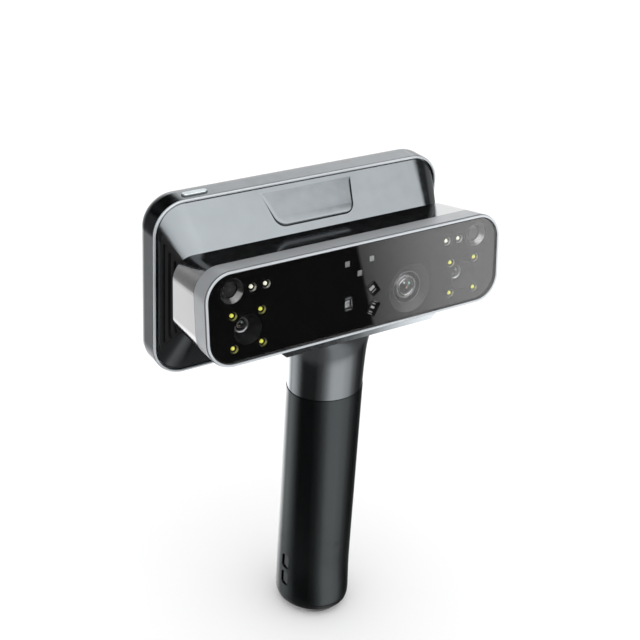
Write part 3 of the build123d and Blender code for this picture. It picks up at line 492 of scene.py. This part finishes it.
def laser_windows():
    """Light tiles behind the square windows, and barred faces behind the slanted ones."""
    mesh = bmesh.new()
    for x, z in SQUARE_LASERS:
        for u in (-QUARTER_SHIFT, QUARTER_SHIFT):
            for v in (-QUARTER_SHIFT, QUARTER_SHIFT):
                tile(mesh, x, z, 0.0, (u, v), QUARTER_SIZE, *WINDOW_DEPTHS)
    for (x, z, angle, _, _), bars in zip(LINE_LASERS, LINE_BARS):
        for centre, size in bars:
            tile(mesh, x, z, angle, centre, size, *BAR_DEPTHS)
    finish_piece("laser_windows", mesh, "laser_grey", WINDOW_GREY, ["laser_lenses"])
    mesh = bmesh.new()
    for x, z, angle, width, height in LINE_LASERS:
        sleeve(mesh, x, z, angle, (width, height), LINER_WALL, *LINER_DEPTHS)
        tile(mesh, x, z, angle, (0.0, 0.0), (width - LINER_FLOOR_GAP, height - LINER_FLOOR_GAP),
             *LINER_FLOOR_DEPTHS)
    finish_piece("laser_liners", mesh, "laser_grey", LINER_BLACK)


GRID_STEP = (1.08, 1.42)
GRID_TILE = (1.02, 1.34)
# The three strokes of the frame: x, z, size.
BRACKET_STROKES = ((-8.4, -5.3, (4.2, 0.42)), (-5.95, -8.7, (0.42, 4.6)),
                   (-8.4, -12.3, (4.2, 0.42)))


def proximity_bracket():
    """A gridded sensor face inside a D-shaped frame."""
    mesh = bmesh.new()
    for column in range(3):
        for row in range(3):
            tile(mesh, PROXIMITY[0] + GRID_STEP[0] * (column - 1),
                 PROXIMITY[1] + GRID_STEP[1] * (row - 1), 0.0, (0.0, 0.0), GRID_TILE,
                 *WINDOW_DEPTHS)
    for x, z, size in BRACKET_STROKES:
        tile(mesh, x, z, 0.0, (0.0, 0.0), size, *WINDOW_DEPTHS)
    finish_piece("proximity_bracket", mesh, "laser_grey", WINDOW_GREY, ["proximity_sensor"])


def flood_dies():
    """The small square emitter in the middle of each corner lamp."""
    size, front, back, corner = (1.8, 1.8), 4.95, 5.15, 0.3
    mesh = bmesh.new()
    for side in (-1, 1):
        tile(mesh, side * CORNER[0], CORNER[1], 0.0, (0.0, 0.0), size, front, back, corner)
    finish_piece("flood_dies", mesh, "lens_glass", DIE_GREY)


SLOT_HEIGHTS = (23.1, 36.6)
SLOT_MIDDLE = -2.9
SLOT_FLOOR = (6.3, 10.3, 2.05)   # width, height, corner radius
SLOT_RINGS = ((0.35, -22.9), (0.0, -22.6), (0.0, -21.6))   # inset, x


def lanyard_floors():
    """The black floors of the two outlined slots low on the left of the grip."""
    width, tall, corner = SLOT_FLOOR
    mesh = bmesh.new()
    for height in SLOT_HEIGHTS:
        rings = []
        for inset, x in SLOT_RINGS:
            outline = rounded(width - 2 * inset, tall - 2 * inset, corner - inset, 6)
            rings.append([mesh.verts.new(Vector((x, SLOT_MIDDLE + y, height + z)) * MM)
                          for y, z in outline])
        bridge(mesh, rings[0], rings[1])
        bridge(mesh, rings[1], rings[2])
        mesh.faces.new(rings[0])
        mesh.faces.new(rings[2])
    finish_piece("lanyard_floors", mesh, SLOT_OF["lanyard_anchor"], MATERIALS["grip_black"])


PAD_ORIGIN = Vector((0.0, 15.5, 261.9)) * MM
PAD_UP = Vector((0.0, 0.646, 0.763)).normalized()
PAD_OUT = Vector((0.0, -0.763, 0.646)).normalized()
PAD_FOOT, PAD_TOP = 5.6, 27.8      # along the hood's slope
PAD_HALF_WIDTH = 26.3
PAD_CORNER = 7.5
PAD_LEAN = math.atan2(6.7, 28.4)   # how far its sides spread
PAD_THICKNESS, PAD_MARGIN = 1.6, 0.03
PAD_SUNK = -0.4
PAD_ROLL_REACH = 1.7
PAD_ROLL_STEPS = 8
PAD_FLAT_RINGS = 2
PAD_FLAT_STEP = 0.3
PAD_TOP_BLEND = 2.0
ARC_STEPS = 12
SIDE_STEPS = 6


def pad_outline():
    """The pad's outline, along its right side from the foot up, then down its left."""
    quarter = math.pi / 2 - PAD_LEAN
    centre = (PAD_HALF_WIDTH - PAD_CORNER * math.tan(quarter / 2), PAD_FOOT + PAD_CORNER)
    branch = []
    for step in range(ARC_STEPS + 1):
        angle = -math.pi / 2 + quarter * step / ARC_STEPS
        branch.append((centre[0] + PAD_CORNER * math.cos(angle),
                       centre[1] + PAD_CORNER * math.sin(angle)))
    u, v = branch[-1]
    branch += [(u + (PAD_TOP - v) * math.tan(PAD_LEAN) * step / SIDE_STEPS,
                v + (PAD_TOP - v) * step / SIDE_STEPS) for step in range(1, SIDE_STEPS + 1)]
    return branch + [(-u, v) for u, v in reversed(branch)]


def raised_pad():
    """The blank pad on the hood: thick at its foot, with a rolled edge, flush at its top."""
    outline = pad_outline()
    count = len(outline)
    normals = []
    for index in range(count):
        before, after = outline[index - 1], outline[(index + 1) % count]
        tangent = Vector((after[0] - before[0], after[1] - before[1])).normalized()
        normals.append(Vector((-tangent.y, tangent.x)))
    mesh = bmesh.new()
    rings = []
    for step in range(-1, PAD_ROLL_STEPS + PAD_FLAT_RINGS + 1):
        share = min(max(step, 0) / PAD_ROLL_STEPS, 1.0)
        inset = (PAD_ROLL_REACH * (1.0 - math.cos(share * math.pi / 2))
                 + PAD_FLAT_STEP * max(0, step - PAD_ROLL_STEPS))
        ring = []
        for (u, v), normal in zip(outline, normals):
            fall = 1.0 - (v - PAD_FOOT) / (PAD_TOP - PAD_FOOT)
            thick = PAD_THICKNESS * fall + PAD_MARGIN
            height = thick * math.sin(share * math.pi / 2) if step >= 0 else PAD_SUNK
            open_top = min(1.0, max(0.0, (PAD_TOP - v) / PAD_TOP_BLEND))
            a, b = u + normal.x * inset, v + normal.y * inset * open_top
            place = PAD_ORIGIN + Vector((a * MM, 0.0, 0.0)) + PAD_UP * (b * MM)
            ring.append(mesh.verts.new(place + PAD_OUT * (height * MM)))
        rings.append(ring)
    for first, second in zip(rings, rings[1:]):
        bridge(mesh, first, second)
    mesh.faces.new(rings[0])
    right, left = rings[-1][:count // 2], rings[-1][:count // 2 - 1:-1]
    for index in range(len(right) - 1):
        mesh.faces.new((right[index], right[index + 1], left[index + 1], left[index]))
    finish_piece("raised_pad", mesh, SLOT_OF["badge_plate"], None, ["badge_plate"])


NODES["flood_light_lenses"].data.materials[0] = CHIP_DARK
NODES["lanyard_anchor"].data.materials[0] = TRAY_SLATE
# The display housing gets the darker gunmetal copy, painted shade.
NODES["display_housing"].data.materials[0] = SHADED_HOUSING_GUNMETAL
camera_rings()
laser_windows()
proximity_bracket()
lamp_domes()
glass_border()
flood_dies()
lanyard_floors()
raised_pad()


# ----------------------------------------------------------------------- stage

FLOOR_REACH = 6


def floor():
    """A pale floor that mirrors and the cover glass don't see."""
    far = FLOOR_REACH
    mesh = bpy.data.meshes.new("floor")
    mesh.from_pydata([(-far, -far, 0), (far, -far, 0), (far, far, 0), (-far, far, 0)], [],
                     [(0, 1, 2, 3)])
    plane = bpy.data.objects.new("floor", mesh)
    bpy.context.scene.collection.objects.link(plane)
    plane.data.materials.append(surface("floor_pale", (0.97, 0.97, 0.97), roughness=0.9,
                                        vary=0.0, rough_vary=0.0))
    plane.visible_glossy = False
    plane.visible_transmission = False


# What mirrors see in each band of height: (direction in degrees, brightness).
# The direction is 0 towards -y, the scanner's front, and 90 towards +x.
LOW_BAND = ((-180, 1.7), (-170, 1.4), (-163, 0.95), (-154, 0.55), (-150, 0.6), (-142, 0.7),
            (-132, 0.62), (-119, 0.42), (-107, 0.2), (-96, 0.05), (-86, 0.02), (-48, 0.02),
            (-30, 0.08), (-21, 0.18), (-12, 0.33), (-2, 0.58), (7, 0.66), (27, 0.65),
            (38, 0.55), (50, 0.44), (62, 0.2), (78, 0.056), (96, 0.024), (120, 0.1),
            (140, 0.6), (160, 1.6), (180, 1.7))
MID_BAND = ((-180, 0.9), (-165, 0.5), (-150, 0.1), (-120, 0.05), (20, 0.05), (32.0, 0.62),
            (34.0, 0.72), (35.5, 1.5), (37, 2.2), (39, 2.6), (44, 2.9), (52, 2.6), (65, 1.0),
            (90, 0.3), (120, 0.3), (135, 0.6), (142, 1.1), (180, 1.1))
MID_EDGE = 33.7
MID_DARK = 0.05
SIDE_BAND = ((-180, 0.5), (-165, 0.1), (-150, 0.0), (-95, 0.0), (-80, 0.4), (-62, 1.7),
             (-45, 2.3), (20, 2.6), (37, 2.5), (51, 2.15), (56, 2.0), (60, 0.1), (80, 0.05),
             (115, 0.4), (135, 1.75), (160, 1.75), (172, 0.8), (180, 0.5))
HIGH_BAND = ((-180, 0.0), (-95, 0.0), (-80, 0.4), (-62, 1.7), (-45, 2.3), (20, 2.7),
             (37, 2.65), (51, 2.2), (56, 2.0), (60, 0.02), (110, 0.02), (180, 0.0))
# Heights, as the z of a direction, over which one band gives way to the next.
UNDER_TO_LOW = (-0.66, -0.58)
LOW_TO_MID = (-0.40, -0.34)
MID_TO_SIDE = (0.15, 0.28)
SIDE_TO_HIGH = (0.42, 0.52)
HIGH_TO_TOP = (0.94, 0.98)
TOP_LEVEL = 2.0
UNDER_LEVEL = 0.12
UNDER_SHARE = 0.6
# The soft box's straight edge, which leans as it rises.
MID_LEAN = 8.2 / 360.0
MID_LEAN_FOOT = 0.2588
MID_EDGE_SOFTNESS = 0.0003
MID_DARK_START = (0.17, 0.2)
EVEN_LEVEL = 1.16      # what matt surfaces and the camera see
SECOND_LOSS = 0.7      # lost by light on its second glossy bounce


def around(stops):
    """Directions in degrees as places from 0 to 1 round the horizon."""
    return [((angle + 180.0) / 360.0, level) for angle, level in stops]


def studio():
    """Soft surroundings: even light on matt surfaces, broad soft boxes in reflections."""
    world = bpy.data.worlds.new("studio")
    bpy.context.scene.world = world
    world.use_nodes = True
    tree = Tree(world.node_tree.nodes, world.node_tree.links)
    background = tree.nodes["Background"]
    way = tree.add("ShaderNodeTexCoord").outputs["Generated"]
    parts = tree.add("ShaderNodeSeparateXYZ")
    tree.join(way, parts.inputs[0])
    x, y, z = parts.outputs
    azimuth = tree.maths("ARCTAN2", x, tree.maths("MULTIPLY", y, -1.0))
    turn = tree.maths("ADD", tree.maths("DIVIDE", azimuth, 2.0 * math.pi), 0.5)
    low = tree.curve(turn, around(LOW_BAND))
    slant = tree.maths("MULTIPLY", tree.maths("ADD", z, MID_LEAN_FOOT), MID_LEAN)
    mid_turn = tree.maths("ADD", turn, slant)
    mid = tree.curve(mid_turn, around(MID_BAND))
    boundary = (MID_EDGE + 180.0) / 360.0
    before = tree.remap(mid_turn, boundary - MID_EDGE_SOFTNESS, boundary + MID_EDGE_SOFTNESS,
                        1.0, 0.0)
    after = tree.remap(mid_turn, *MID_DARK_START, 0.0, 1.0)
    behind_edge = tree.maths("MULTIPLY", before, after)
    mid = tree.mix(behind_edge, mid, (MID_DARK,) * 3)
    side = tree.curve(turn, around(SIDE_BAND))
    high = tree.curve(turn, around(HIGH_BAND))
    low_share = tree.remap(z, *UNDER_TO_LOW, 0.0, 1.0)
    below = tree.mix(UNDER_SHARE, low, (UNDER_LEVEL,) * 3)
    whole = tree.mix(low_share, below, low)
    for heights, band in ((LOW_TO_MID, mid), (MID_TO_SIDE, side), (SIDE_TO_HIGH, high),
                          (HIGH_TO_TOP, (TOP_LEVEL,) * 3)):
        whole = tree.mix(tree.remap(z, *heights, 0.0, 1.0), whole, band)
    path = tree.add("ShaderNodeLightPath")
    again = tree.maths("GREATER_THAN", path.outputs["Glossy Depth"], 1.5)
    whole = tree.mix(tree.maths("MULTIPLY", again, SECOND_LOSS), whole, (0.0, 0.0, 0.0))
    shown = tree.mix(path.outputs["Is Glossy Ray"], (EVEN_LEVEL,) * 3, whole)
    tree.join(shown, background.inputs["Color"])
    background.inputs["Strength"].default_value = 1.0


def camera():
    """The photograph's viewpoint, with its slight roll."""
    data = bpy.data.cameras.new("camera")
    data.lens = CAMERA_LENS
    data.sensor_width = SENSOR_WIDTH
    data.clip_start = 0.02
    data.clip_end = 50.0
    obj = bpy.data.objects.new("camera", data)
    bpy.context.scene.collection.objects.link(obj)
    back = Vector((-math.sin(CAMERA_AZIMUTH) * math.cos(CAMERA_ELEVATION),
                   -math.cos(CAMERA_AZIMUTH) * math.cos(CAMERA_ELEVATION),
                   math.sin(CAMERA_ELEVATION)))
    level = Vector((math.cos(CAMERA_AZIMUTH), -math.sin(CAMERA_AZIMUTH), 0.0))
    rise = back.cross(level)
    right = level * math.cos(CAMERA_ROLL) + rise * math.sin(CAMERA_ROLL)
    up = back.cross(right)
    turn = Matrix((right, up, back)).transposed()
    obj.matrix_world = Matrix.Translation(CAMERA_PLACE) @ turn.to_4x4()
    bpy.context.scene.camera = obj


bpy.context.scene.view_settings.view_transform = "Standard"
floor()
studio()
camera()
